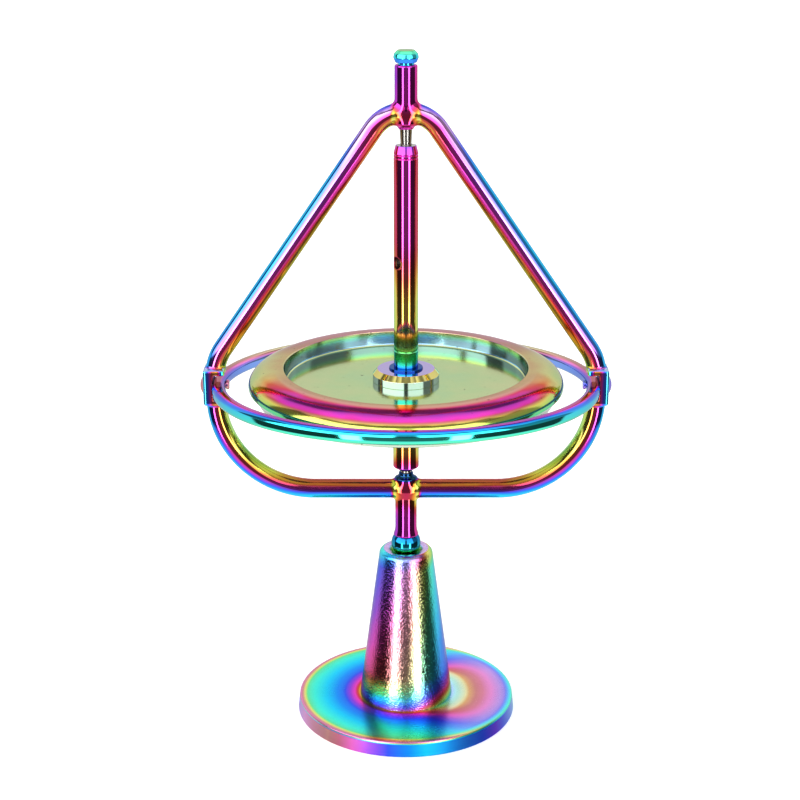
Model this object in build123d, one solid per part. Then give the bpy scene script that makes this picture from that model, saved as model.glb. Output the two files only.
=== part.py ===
from build123d import *
import os
from math import asin, atan2, cos, degrees, hypot, sin, sqrt, tan

# Toy gyroscope balanced on a stand. Millimetres, +Z up, the origin on the table under the middle of
# the base. The hoop lies in the XZ plane and its front faces -Y. Radii are measured from the Z axis.

# ---- stand: a turned disc, a cone with a cup in its top, and a hidden screw
baseRadius = 18.0
baseLean = 0.3                  # the rim leans in this much towards the top
baseThickness = 2.55
baseEdge = 0.18
postFootRadius = 7.65
postTopRadius = 4.25            # where the cone's side would meet its top face
postHeight = 25.95
postShoulder = 0.95
screwShankRadius = 1.5
screwHeadRadius = 3.0
screwHeadDepth = 1.3
screwLength = 11.0
screwRecess = 0.35              # the head lies this far above the table
screwDrive = (4.4, 0.8, 0.6)    # length, width and depth of the cross in the head

# ---- ball foot, and the cup it turns in
ballRadius = 2.4
cupRadius = 3.0
cupDepth = 1.52
cupBevel = 0.22
runningClearance = 0.04         # between faces that turn on each other

# ---- hoop: round rod bent to an arch above and a flat D below, with a stem at each end
rodRadius = 1.55
archRadius = 6.1                # bends are measured to the rod's centre line
archHeight = 99.6
hoopHalfWidth = 30.1
legCornerRise = 3.97            # height above the ring's plane where leg and side would meet
legBend = 8.0
lowerBend = 15.5
barHeight = 38.85
stemRadius = 1.75
topStemRise = 7.15              # from the arch's centre line to the stem's top
stemEdge = 0.28
stemEndAboveBall = 1.5
stemFlare = 0.35                # the lower stem widens this much where it sits on the ball
stemFlareLength = 1.5
crotchRound = 0.5               # inside round where the stems pass through the rod

# ---- bosses that hold the pivot pins, and the pins
bossRadius = 1.15
upperBossHeight = 0.55          # height over which a stem's inner end narrows to its boss
lowerBossHeight = 0.75
upperStemReach = 0.45           # how far the stems show inside the hoop before that
lowerStemReach = 0.6
upperPinShown = 2.45            # bare length of the pin between its boss and the axle
lowerPinShown = 0.4
pinRadius = 0.85
pinButtRadius = 1.0
pinButtLength = 2.15
pinTaperLength = 2.6
pinRunLength = 2.6              # straight length that turns in the axle
pinTipLength = 0.75
pinTipRadius = 0.12

# ---- guard ring, the side blocks that hold it, and its rivets
ringPlane = 56.45
ringOutset = 0.5                # the ring reaches this far outside the hoop's side line
ringThickness = 2.2
ringHeight = 2.05
ringRound = 0.85
ringTilt = 3.2                  # the ring sits a little front-up on its rivets, as photographed
ringSeat = 0.25                 # depth of the flat on the ring where it lies in a block
blockOutward = 1.8              # the block's faces, measured from the hoop's side line
blockInward = 1.6
blockHeight = 5.9
blockDepth = 4.6
blockRound = 0.45
channelHeight = 4.1
channelRound = 0.3
rivetShankRadius = 0.55
rivetHeadRadius = 1.65
rivetHeadRise = 0.62
rivetTailRadius = 0.78
rivetTailRise = 0.45
rivetTailRound = 0.18

# ---- knob on the top stem
knobShankRadius = 0.9
knobShankLength = 4.0
knobNeckRadius = 1.2
knobNeckLength = 0.28
knobFootRadius = 1.62
knobBrimRadius = 1.93
knobBrim = 0.82                 # height of the widest line above the knob's foot
knobTopRadius = 1.35
knobHeight = 1.92
knobBulge = 0.1                 # how far the flank curves out between foot and brim

# ---- flywheel: a heavy rim, a thin web and a hub
wheelGap = 3.09                 # clear space between the rim and the tails of the ring's rivets
rimWidth = 5.61
rimWaistRise = 0.45             # the widest line lies this far above the ring's plane
crownHeight = 2.72
crownLand = 0.5                 # almost flat land beside the bore
rimDraft = 0.25
lipDepth = 0.35
lipStep = 0.76                  # how far inside the widest line the lip turns into the lower flank
lipUndercut = 0.75
flankStep = 1.76                # the same for the foot of that flank
flankHeight = 2.75
rimFootRound = 0.5
webThickness = 1.55
hubRadius = 2.65
hubRise = 2.25                  # each end of the hub above its face of the web

# ---- hub collars, axle core and sleeves
collarRadius = 5.25
collarHeight = 1.95
collarSlope = (0.75, 0.85)      # width and height of the sloped edge
coreRadius = 1.5
sleeveRadius = 1.9
sleeveTopRadius = 1.6
sleeveTaper = 1.2
grooveDepth = 0.12
grooveAboveHub = 2.73
groovesBelowTop = (1.9, 1.4)
lowerSleeveRadius = 2.06
lowerSleeveEndRadius = 1.15
lowerSleeveTaper = 0.6
lowerSleeveWall = 0.85          # thickness of the sleeve's closed end
stringHoleRadius = 0.95
stringHoleHeight = 76.45
stringHoleTurn = 54.0           # degrees from the front towards -X

# ---- heights, radii and faces that follow from the sizes above
postTop = baseThickness + postHeight
screwHeadTop = screwRecess + screwHeadDepth
screwTip = screwRecess + screwLength
cupCentre = postTop - cupDepth + cupRadius
ballCentre = postTop - cupDepth + ballRadius + runningClearance
stemBottom = ballCentre + stemEndAboveBall
stemTop = archHeight + topStemRise
upperStemEnd = archHeight - rodRadius - upperStemReach
lowerStemEnd = barHeight + rodRadius + lowerStemReach
sleeveTop = upperStemEnd - upperBossHeight - upperPinShown
lowerSleeveEnd = lowerStemEnd + lowerBossHeight + lowerPinShown
coreBottom = lowerSleeveEnd + lowerSleeveWall
blockOuterFace = hoopHalfWidth + blockOutward
blockInnerFace = hoopHalfWidth - blockInward
ringRadius = hoopHalfWidth + ringOutset
ringBore = ringRadius - ringThickness
channelFloor = ringRadius - ringSeat
webTop = ringPlane + webThickness / 2
webBottom = ringPlane - webThickness / 2
hubTop = webTop + hubRise
hubBottom = webBottom - hubRise
rimRadius = ringBore - rivetTailRise - wheelGap
rimBore = rimRadius - rimWidth
rimWaist = ringPlane + rimWaistRise
rimFoot = rimWaist - flankHeight


def turned(*edges):
    """Revolve about the Z axis an outline drawn as (radius, height)."""
    return revolve(Plane.XZ * make_face([*edges]), axis=Axis.Z)


def turnedPolygon(*points):
    """The same for an outline of straight lines, given by its corners."""
    return turned(*Polyline(*points, close=True).edges())


def upright(radius, bottom, top):
    """A round bar on the Z axis between two heights."""
    return Pos(0, 0, (bottom + top) / 2) * Cylinder(radius, top - bottom)


def crossBar(radius, start, end, height):
    """A round bar along X between two X positions."""
    return Pos((start + end) / 2, 0, height) * Rot(0, 90, 0) * Cylinder(radius, abs(end - start))


def bothSides(solid):
    """A piece and its mirror image across the plane X = 0."""
    return Compound([solid, mirror(solid, about=Plane.YZ)])


def screwForm():
    """Countersunk head and round shank of the screw, without its drive."""
    return turnedPolygon(
        (0, screwRecess), (screwHeadRadius, screwRecess), (screwShankRadius, screwHeadTop),
        (screwShankRadius, screwTip), (0, screwTip),
    )


def standBase():
    """Disc with a leaning rim and a countersunk hole from below."""
    disc = turnedPolygon(
        (0, 0), (baseRadius - baseEdge, 0), (baseRadius, baseEdge),
        (baseRadius - baseLean, baseThickness - baseEdge),
        (baseRadius - baseLean - baseEdge, baseThickness), (0, baseThickness),
    )
    return disc - screwForm() - upright(screwHeadRadius, 0, screwRecess)


def standPost():
    """Cone with a rounded shoulder, a ball cup in its top and a blind hole for the screw."""
    cone = turnedPolygon(
        (0, baseThickness), (postFootRadius, baseThickness), (postTopRadius, postTop), (0, postTop),
    )
    cone = fillet(cone.edges().group_by(Axis.Z)[-1], postShoulder)
    mouthRadius = sqrt(cupRadius**2 - (cupCentre - postTop) ** 2)
    mouth = turnedPolygon(
        (0, postTop - cupBevel), (mouthRadius - cupBevel, postTop - cupBevel),
        (mouthRadius + cupBevel, postTop), (0, postTop),
    )
    cup = Pos(0, 0, cupCentre) * Sphere(cupRadius)
    return cone - cup - mouth - upright(screwShankRadius, baseThickness, screwTip)


def standScrew():
    """Countersunk screw with a cross in its head, driven up into the post."""
    length, width, depth = screwDrive
    slot = Pos(0, 0, screwRecess + depth / 2) * Box(length, width, depth)
    return screwForm() - slot - Rot(0, 0, 90) * slot


def footBall():
    """Ball on which the gyroscope stands and turns."""
    return Pos(0, 0, ballCentre) * Sphere(ballRadius)


def hoopRod():
    """Rod of the hoop: half of it swept down one tangent path, then mirrored."""
    archCentre = archHeight - archRadius
    cornerHeight = ringPlane + legCornerRise
    drop = archCentre - cornerHeight
    lean = atan2(hoopHalfWidth, drop) - asin(archRadius / hypot(hoopHalfWidth, drop))
    legStart = (archRadius * cos(lean), archCentre + archRadius * sin(lean))
    reach = legBend * tan(lean / 2)
    legEnd = (hoopHalfWidth - reach * sin(lean), cornerHeight + reach * cos(lean))
    arch = JernArc((0, archHeight), (1, 0), archRadius, degrees(lean) - 90)
    leg = Line(legStart, legEnd)
    bend = JernArc(legEnd, (sin(lean), -cos(lean)), legBend, -degrees(lean))
    side = Line((hoopHalfWidth, cornerHeight - reach), (hoopHalfWidth, barHeight + lowerBend))
    corner = JernArc((hoopHalfWidth, barHeight + lowerBend), (0, -1), lowerBend, -90)
    bar = Line((hoopHalfWidth - lowerBend, barHeight), (0, barHeight))
    path = Plane.XZ * Wire([run.edge() for run in (arch, leg, bend, side, corner, bar)])
    half = sweep(Plane(path @ 0, z_dir=path % 0) * Circle(rodRadius), path=path)
    return half + mirror(half, about=Plane.YZ)


def upperStem():
    """Stem from its top down through the arch."""
    return turnedPolygon(
        (0, upperStemEnd), (stemRadius, upperStemEnd), (stemRadius, stemTop - stemEdge),
        (stemRadius - stemEdge, stemTop), (0, stemTop),
    )


def lowerStem():
    """Stem from above the bar down to the flared seat on the ball."""
    flareTop = stemBottom + stemFlareLength
    waist = (stemRadius + stemFlare / 4, stemBottom + stemFlareLength / 2)
    outline = [
        Polyline((stemRadius + stemFlare, stemBottom), (0, stemBottom), (0, lowerStemEnd),
                 (stemRadius, lowerStemEnd), (stemRadius, flareTop)),
        ThreePointArc((stemRadius, flareTop), waist, (stemRadius + stemFlare, stemBottom)),
    ]
    return turned(*[edge for run in outline for edge in run.edges()])


def pinBoss(height, step):
    """Short cone on a stem's inner end, narrowing to where the pin comes out."""
    return turnedPolygon((0, height), (stemRadius, height), (bossRadius, height + step), (0, height + step))


def sideBlock():
    """Block on the hoop's right side, without its channel."""
    width = blockOuterFace - blockInnerFace
    block = Box(width, blockDepth, blockHeight)
    block = fillet(block.edges(), blockRound)
    return Pos(blockInnerFace + width / 2, 0, ringPlane) * block


def sideChannel():
    """Space in the right block that the ring passes through, with the rivet's hole."""
    width = channelFloor - blockInnerFace + blockRound
    slot = Box(width, 2 * blockDepth, channelHeight)
    floorEdges = slot.edges().filter_by(Axis.Y).group_by(Axis.X)[-1]
    slot = Pos(channelFloor - width / 2, 0, ringPlane) * fillet(floorEdges, channelRound)
    return slot + crossBar(rivetShankRadius, blockInnerFace, blockOuterFace, ringPlane)


def gyroFrame():
    """Hoop, stems and side blocks as the one casting they are, with every hole in it."""
    frame = hoopRod() + upperStem() + lowerStem()
    crotches = [edge for edge in frame.edges().filter_by(GeomType.BSPLINE)
                if abs(edge.center().X) < 2 * stemRadius]
    frame = frame.fillet(crotchRound, crotches)
    frame = frame + pinBoss(upperStemEnd, -upperBossHeight) + pinBoss(lowerStemEnd, lowerBossHeight)
    block = sideBlock()
    frame = frame + block + mirror(block, about=Plane.YZ)
    channel = sideChannel()
    frame = frame - channel - mirror(channel, about=Plane.YZ)
    frame = frame - Pos(0, 0, ballCentre) * Sphere(ballRadius + runningClearance)
    frame = frame - upright(knobShankRadius, stemTop - knobShankLength, stemTop)
    return frame - upperPin() - lowerPin()


def pinForm(clearance):
    """Pivot pin pointing up, its straight part starting at height 0, thickened by a clearance."""
    butt = -pinTaperLength - pinButtLength
    return turnedPolygon(
        (0, butt), (pinButtRadius, butt), (pinButtRadius, -pinTaperLength),
        (pinRadius + clearance, 0), (pinRadius + clearance, pinRunLength),
        (pinTipRadius + clearance, pinRunLength + pinTipLength),
        (0, pinRunLength + pinTipLength + clearance),
    )


def lowerPin(clearance=0):
    """Pin held in the lower boss, pointing up into the axle."""
    return Pos(0, 0, lowerSleeveEnd) * pinForm(clearance)


def upperPin(clearance=0):
    """Pin held in the upper boss, pointing down into the axle."""
    return Pos(0, 0, sleeveTop) * Rot(180, 0, 0) * pinForm(clearance)


def guardRing():
    """Ring with rounded edges, flat where it lies in the blocks, drilled and faced for its rivets."""
    section = RectangleRounded(ringThickness, ringHeight, ringRound)
    ring = revolve(Plane.XZ * Pos(ringRadius - ringThickness / 2, 0) * section, axis=Axis.Z)
    ring = ring & Box(2 * channelFloor, 3 * ringRadius, 2 * ringHeight)
    ring = ring - crossBar(rivetShankRadius, -ringRadius, ringRadius, 0)
    ring = ring - crossBar(rivetTailRadius, -ringBore, ringBore, 0)
    return Pos(0, 0, ringPlane) * Rot(-ringTilt, 0, 0) * ring


def ringRivets():
    """Two rivets: a domed head outside each block, a turned-over tail inside the ring."""
    tailEnd = ringBore - rivetTailRise
    headTop = blockOuterFace + rivetHeadRise
    headSphere = (rivetHeadRadius**2 + rivetHeadRise**2) / (2 * rivetHeadRise)
    outline = [
        RadiusArc((0, headTop), (rivetHeadRadius, blockOuterFace), headSphere),
        Polyline((rivetHeadRadius, blockOuterFace), (rivetShankRadius, blockOuterFace),
                 (rivetShankRadius, ringBore), (rivetTailRadius, ringBore), (rivetTailRadius, tailEnd),
                 (0, tailEnd), (0, headTop)),
    ]
    rivet = turned(*[edge for run in outline for edge in run.edges()])
    rivet = fillet(rivet.edges().group_by(Axis.Z)[0], rivetTailRound)
    return bothSides(Pos(0, 0, ringPlane) * Rot(0, 90, 0) * rivet)


def topKnob():
    """Turned knob, rounded all the way up its side, pressed into the top stem."""
    foot = stemTop + knobNeckLength
    brim = foot + knobBrim
    top = foot + knobHeight
    flank = ((knobFootRadius + knobBrimRadius) / 2 + knobBulge, (foot + brim) / 2)
    crown = (knobBrimRadius - (knobBrimRadius - knobTopRadius) / 4, top - (top - brim) / 3)
    outline = [
        Polyline((0, top), (0, stemTop - knobShankLength), (knobShankRadius, stemTop - knobShankLength),
                 (knobShankRadius, stemTop), (knobNeckRadius, stemTop), (knobNeckRadius, foot),
                 (knobFootRadius, foot)),
        ThreePointArc((knobFootRadius, foot), flank, (knobBrimRadius, brim)),
        ThreePointArc((knobBrimRadius, brim), crown, (knobTopRadius, top)),
        Line((knobTopRadius, top), (0, top)),
    ]
    return turned(*[edge for run in outline for edge in run.edges()])


def flywheel():
    """Rim with an elliptic crown and an undercut lip, web and hub, turned in one piece."""
    landEnd = rimBore + crownLand
    rimCrest = rimWaist + crownHeight
    rimFootRadius = rimRadius - flankStep
    lipFoot = rimWaist - lipDepth
    lipEnd = (rimRadius - lipStep, lipFoot - lipUndercut)
    outline = [
        Line((rimBore, rimCrest), (landEnd, rimCrest)),
        EllipticalCenterArc((landEnd, rimWaist), rimRadius - landEnd, crownHeight, 0, arc_size=90),
        Line((rimRadius, rimWaist), (rimRadius, lipFoot)),
        RadiusArc((rimRadius, lipFoot), lipEnd, lipStep + lipUndercut),
        Line(lipEnd, (rimFootRadius, rimFoot)),
        Polyline((rimFootRadius, rimFoot), (rimBore, rimFoot), (rimBore - rimDraft, webBottom),
                 (hubRadius, webBottom), (hubRadius, hubBottom), (coreRadius, hubBottom),
                 (coreRadius, hubTop), (hubRadius, hubTop), (hubRadius, webTop),
                 (rimBore - rimDraft, webTop), (rimBore, rimCrest)),
    ]
    wheel = turned(*[edge for run in outline for edge in run.edges()])
    footEdges = wheel.edges().filter_by(GeomType.CIRCLE).filter_by_position(Axis.Z, rimFoot, rimFoot)
    return fillet(footEdges.sort_by(lambda edge: edge.radius)[-1], rimFootRound)


def hubCollars():
    """Collar above the web and the same one below it."""
    slopeWidth, slopeHeight = collarSlope
    top = webTop + collarHeight
    upper = turnedPolygon(
        (hubRadius, webTop), (collarRadius, webTop), (collarRadius, top - slopeHeight),
        (collarRadius - slopeWidth, top), (hubRadius, top),
    )
    return Compound([upper, mirror(upper, about=Plane.XY.offset(ringPlane))])


def stringHole():
    """Bore right across the axle that the starting string is threaded through."""
    bar = Rot(90, 0, 0) * Cylinder(stringHoleRadius, 3 * sleeveRadius)
    return Pos(0, 0, stringHoleHeight) * Rot(0, 0, -stringHoleTurn) * bar


def axleCore():
    """Steel rod through the hub with a bore at each end for a pivot pin."""
    core = upright(coreRadius, coreBottom, sleeveTop)
    return core - upperPin(runningClearance) - lowerPin(runningClearance) - stringHole()


def upperSleeve():
    """Sleeve above the hub, tapered at its top, with fine turned lines."""
    outer = [(sleeveRadius, hubTop)]
    for height in (hubTop + grooveAboveHub, *[sleeveTop - depth for depth in groovesBelowTop]):
        outer.append((sleeveRadius, height - grooveDepth))
        outer.append((sleeveRadius - grooveDepth, height))
        outer.append((sleeveRadius, height + grooveDepth))
    outer.append((sleeveRadius, sleeveTop - sleeveTaper))
    outer.append((sleeveTopRadius, sleeveTop))
    sleeve = turnedPolygon((coreRadius, hubTop), *outer, (coreRadius, sleeveTop))
    return sleeve - stringHole()


def lowerSleeve():
    """Sleeve below the hub, closed at its tapered end around the lower pin."""
    sleeve = turnedPolygon(
        (0, lowerSleeveEnd), (lowerSleeveEndRadius, lowerSleeveEnd),
        (lowerSleeveRadius, lowerSleeveEnd + lowerSleeveTaper), (lowerSleeveRadius, hubBottom),
        (coreRadius, hubBottom), (coreRadius, coreBottom), (0, coreBottom),
    )
    return sleeve - lowerPin(runningClearance)


pieces = {
    "stand_base": standBase,
    "stand_post": standPost,
    "stand_screw": standScrew,
    "foot_ball": footBall,
    "gyro_frame": gyroFrame,
    "guard_ring": guardRing,
    "ring_rivets": ringRivets,
    "top_knob": topKnob,
    "pivot_pins": lambda: Compound([upperPin(), lowerPin()]),
    "flywheel": flywheel,
    "hub_collars": hubCollars,
    "axle_core": axleCore,
    "upper_sleeve": upperSleeve,
    "lower_sleeve": lowerSleeve,
}

os.makedirs("parts", exist_ok=True)
for name, make in pieces.items():
    piece = make()
    export_step(piece, f"parts/{name}.step")
    print(name, "solids", len(piece.solids()), "volume", round(sum(solid.volume for solid in piece.solids()), 2))
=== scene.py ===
import math
import bmesh
import bpy
import numpy as np
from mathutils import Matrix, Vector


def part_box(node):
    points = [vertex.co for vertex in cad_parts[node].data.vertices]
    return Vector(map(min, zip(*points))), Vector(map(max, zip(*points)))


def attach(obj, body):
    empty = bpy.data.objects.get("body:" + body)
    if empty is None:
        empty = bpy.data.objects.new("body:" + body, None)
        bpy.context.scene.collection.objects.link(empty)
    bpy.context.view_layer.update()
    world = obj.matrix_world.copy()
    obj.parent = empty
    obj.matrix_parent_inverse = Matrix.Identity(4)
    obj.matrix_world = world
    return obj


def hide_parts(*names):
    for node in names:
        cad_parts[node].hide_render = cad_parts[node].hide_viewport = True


# Toy gyroscope on its stand. Sizes here are millimetres, and buildMesh brings them to metres.

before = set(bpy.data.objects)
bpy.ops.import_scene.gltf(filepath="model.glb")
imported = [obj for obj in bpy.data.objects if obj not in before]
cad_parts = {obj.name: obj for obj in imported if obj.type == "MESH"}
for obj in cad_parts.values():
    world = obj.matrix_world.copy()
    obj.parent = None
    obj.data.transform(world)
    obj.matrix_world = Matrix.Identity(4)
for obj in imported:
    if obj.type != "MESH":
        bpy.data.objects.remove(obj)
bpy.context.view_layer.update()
mm = 0.001
print("frame loaded:", len(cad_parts), "nodes")


def reach(node, axis, side=1):
    # one face of a node's box in millimetres: side 0 is the low one, side 1 the high one
    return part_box(node)[side][axis] / mm


class Signal:
    # a socket that adds Math nodes when it is used in an expression
    def __init__(self, tree, socket):
        self.tree, self.socket = tree, socket

    def math(self, operation, *others):
        return node(self.tree, "ShaderNodeMath", {"operation": operation}, dict(enumerate((self, *others))))

    def __add__(self, other): return self.math("ADD", other)
    def __radd__(self, other): return self.math("ADD", other)
    def __mul__(self, other): return self.math("MULTIPLY", other)
    def __rmul__(self, other): return self.math("MULTIPLY", other)
    def __sub__(self, other): return self.math("SUBTRACT", other)

    def __rsub__(self, other):
        return node(self.tree, "ShaderNodeMath", {"operation": "SUBTRACT"}, {0: other, 1: self})


def node(tree, kind, settings=None, inputs=None, output=0):
    # any shader node: its settings first, then its sockets' values or links
    made = tree.nodes.new(kind)
    for name, value in (settings or {}).items():
        if name == "stops":
            ramp = made.color_ramp.elements
            while len(ramp) < len(value):
                ramp.new(0.5)
            for element, (place, colour) in zip(ramp, value):
                element.position, element.color = place, (*colour, 1)
        else:
            setattr(made, name, value)
    for name, value in (inputs or {}).items():
        if isinstance(value, Signal):
            tree.links.new(value.socket, made.inputs[name])
        elif value is not None:
            made.inputs[name].default_value = value
    return Signal(tree, made.outputs[output]) if made.outputs else made


def windowed(signal, low, high, soft):
    # 1 between low and high, falling smoothly to 0 over a width of soft outside each
    rise = node(signal.tree, "ShaderNodeMapRange", {"interpolation_type": "SMOOTHSTEP"},
                {"Value": signal, "From Min": low - soft, "From Max": low})
    fall = node(signal.tree, "ShaderNodeMapRange", {"interpolation_type": "SMOOTHSTEP"},
                {"Value": signal, "From Min": high, "From Max": high + soft, "To Min": 1.0, "To Max": 0.0})
    return rise * fall


def linear(red, green, blue):
    # a screen colour, 0 to 255, as the light it stands for
    return tuple(c / 12.92 if c <= 0.04045 else ((c + 0.055) / 1.055) ** 2.4
                 for c in (red / 255, green / 255, blue / 255))


# Colours that the coat takes as it gets thicker, round to the first again
filmColours = {
    "straw": (0.00, (220, 210, 100)),
    "gold": (0.06, (210, 150, 50)),
    "copper": (0.12, (190, 80, 50)),
    "crimson": (0.18, (200, 50, 90)),
    "magenta": (0.26, (220, 60, 180)),
    "violet": (0.36, (140, 60, 210)),
    "blue": (0.46, (50, 80, 230)),
    "azure": (0.56, (20, 140, 240)),
    "cyan": (0.66, (20, 200, 240)),
    "aqua": (0.76, (60, 230, 210)),
    "green": (0.85, (100, 220, 150)),
    "lime": (0.93, (180, 220, 100)),
    "strawAgain": (1.00, (220, 210, 100)),
}
# The same for every coat: the colour of painted dark reflections, which a pale below 0 darkens towards, the specks,
# and the tint of the edge reflection
coatShared = dict(paintedDarkReflection=(34, 44, 56), speckFrom=0.735, speckSoft=0.02, speckTint=(0.25, 0.22, 0.24), tint=0.65,
                  smoothest=0.02)


def coatMaterial(name, look):
    # metal under a clear film: the film attribute picks the colour, pale whitens it, in places as a painted highlight,
    # or darkens it where it is below 0, always as a painted dark reflection, and matt roughens it
    material = bpy.data.materials.new(name)
    material.use_nodes = True
    tree = material.node_tree
    tree.nodes.clear()
    place = node(tree, "ShaderNodeTexCoord", output=3)
    film = node(tree, "ShaderNodeAttribute", {"attribute_name": "film"}, output=2)
    pale = node(tree, "ShaderNodeAttribute", {"attribute_name": "pale"}, output=2)
    matt = node(tree, "ShaderNodeAttribute", {"attribute_name": "matt"}, output=2)
    cloud = node(tree, "ShaderNodeTexNoise", None,
                 {"Vector": place, "Scale": look["cloudScale"], "Detail": 3.0, "Roughness": 0.5})
    phase = (film + (cloud - 0.5) * look["cloud"] + 4.0).math("FRACT")   # whole cycles keep it above 0
    colour = node(tree, "ShaderNodeValToRGB",
                  {"stops": [(stop, linear(*rgb)) for stop, rgb in filmColours.values()]}, {"Fac": phase})
    colour = node(tree, "ShaderNodeMix", {"data_type": "RGBA"},
                  {"Factor": pale, 6: colour, 7: (*linear(*look["pale"]), 1)}, output=2)
    # where pale is below 0 the colour darkens towards that of a painted dark reflection
    colour = node(tree, "ShaderNodeMix", {"data_type": "RGBA"},
                  {"Factor": 0.0 - pale, 6: colour, 7: (*linear(*coatShared["paintedDarkReflection"]), 1)}, output=2)
    grain = node(tree, "ShaderNodeTexNoise", None,
                 {"Vector": place, "Scale": look["grainScale"], "Detail": 2.0, "Roughness": 0.55})
    specks = windowed(grain, coatShared["speckFrom"], 1.2, coatShared["speckSoft"])
    colour = node(tree, "ShaderNodeMix", {"data_type": "RGBA", "blend_type": "MULTIPLY"},
                  {"Factor": specks * look["specks"], 6: colour, 7: (*coatShared["speckTint"], 1)}, output=2)
    roughness = (cloud - 0.5) * (0.5 * look["roughness"]) + (grain - 0.5) * look["grain"] + look["roughness"]
    roughness = roughness + matt * look["matt"]
    bump = node(tree, "ShaderNodeBump", None,
                {"Height": grain, "Strength": look["bump"], "Distance": look["bumpDepth"] * mm})
    shader = node(tree, "ShaderNodeBsdfPrincipled", None,
                  {"Base Color": colour, "Metallic": 1.0,
                   "Roughness": roughness.math("MAXIMUM", coatShared["smoothest"]),
                   "Specular Tint": (*(coatShared["tint"],) * 3, 1), "Normal": bump})
    node(tree, "ShaderNodeOutputMaterial", None, {"Surface": shader})
    return material


coatLooks = {
    "mirror": dict(cloudScale=260, cloud=0.05, pale=(232, 222, 244), grainScale=2600, grain=0.03, specks=0.0,
                   roughness=0.07, matt=0.2, bump=0.06, bumpDepth=0.01),
    "hoop": dict(cloudScale=300, cloud=0.07, pale=(240, 222, 244), grainScale=1500, grain=0.03, specks=0.05,
                 roughness=0.09, matt=0.2, bump=0.12, bumpDepth=0.02),
    "orangePeel": dict(cloudScale=420, cloud=0.05, pale=(240, 236, 246), grainScale=3500, grain=0.06,
                       specks=0.0, roughness=0.06, matt=0.2, bump=1.0, bumpDepth=0.065),
    "base": dict(cloudScale=200, cloud=0.03, pale=(226, 226, 250), grainScale=1700, grain=0.05, specks=0.10,
                 roughness=0.25, matt=0.3, bump=0.2, bumpDepth=0.03),
    "wheel": dict(cloudScale=240, cloud=0.09, pale=(200, 214, 188), grainScale=1500, grain=0.05, specks=0.8,
                  roughness=0.12, matt=0.2, bump=0.12, bumpDepth=0.02),
}


steelLook = dict(stretch=(200, 200, 9000), dark=(104, 104, 106), light=(176, 172, 162), roughness=0.16, spread=0.15)


def steelMaterial():
    # bare turned steel: grey metal with fine rings around the axis
    material = bpy.data.materials.new("bareSteel")
    material.use_nodes = True
    tree = material.node_tree
    tree.nodes.clear()
    place = node(tree, "ShaderNodeTexCoord", output=3)
    stretched = node(tree, "ShaderNodeMapping", None, {"Vector": place, "Scale": steelLook["stretch"]})
    rings = node(tree, "ShaderNodeTexNoise", None, {"Vector": stretched, "Scale": 1.0, "Detail": 2.0})
    colour = node(tree, "ShaderNodeMix", {"data_type": "RGBA"},
                  {"Factor": rings, 6: (*linear(*steelLook["dark"]), 1),
                                 7: (*linear(*steelLook["light"]), 1)}, output=2)
    shader = node(tree, "ShaderNodeBsdfPrincipled", None,
                  {"Base Color": colour, "Metallic": 1.0,
                   "Roughness": rings * steelLook["spread"] + steelLook["roughness"]})
    node(tree, "ShaderNodeOutputMaterial", None, {"Surface": shader})
    return material


coats = {name: coatMaterial(name + "Coat", look) for name, look in coatLooks.items()}
coats["steel"] = steelMaterial()
print("coats made:", len(coats))


def buildMesh(name, points, faces, normals, paint, finish):
    # points and unit normals in millimetres become a shaded mesh in metres; paint(points, normals) gives each
    # point's film, pale and, where the finish varies, matt
    data = bpy.data.meshes.new(name)
    data.from_pydata(points * mm, [], faces)
    data.polygons.foreach_set("use_smooth", np.ones(len(data.polygons), bool))
    film, pale, *matt = paint(points, normals)
    for label, values in (("film", film), ("pale", pale), ("matt", matt[0] if matt else 0.0)):
        attribute = data.attributes.new(label, "FLOAT", "POINT")
        attribute.data.foreach_set("value", np.broadcast_to(values, len(points)).astype(np.float32))
    data.normals_split_custom_set_from_vertices(normals)
    data.materials.append(coats[finish])
    piece = bpy.data.objects.new(name, data)
    bpy.context.scene.collection.objects.link(piece)
    return piece


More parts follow.
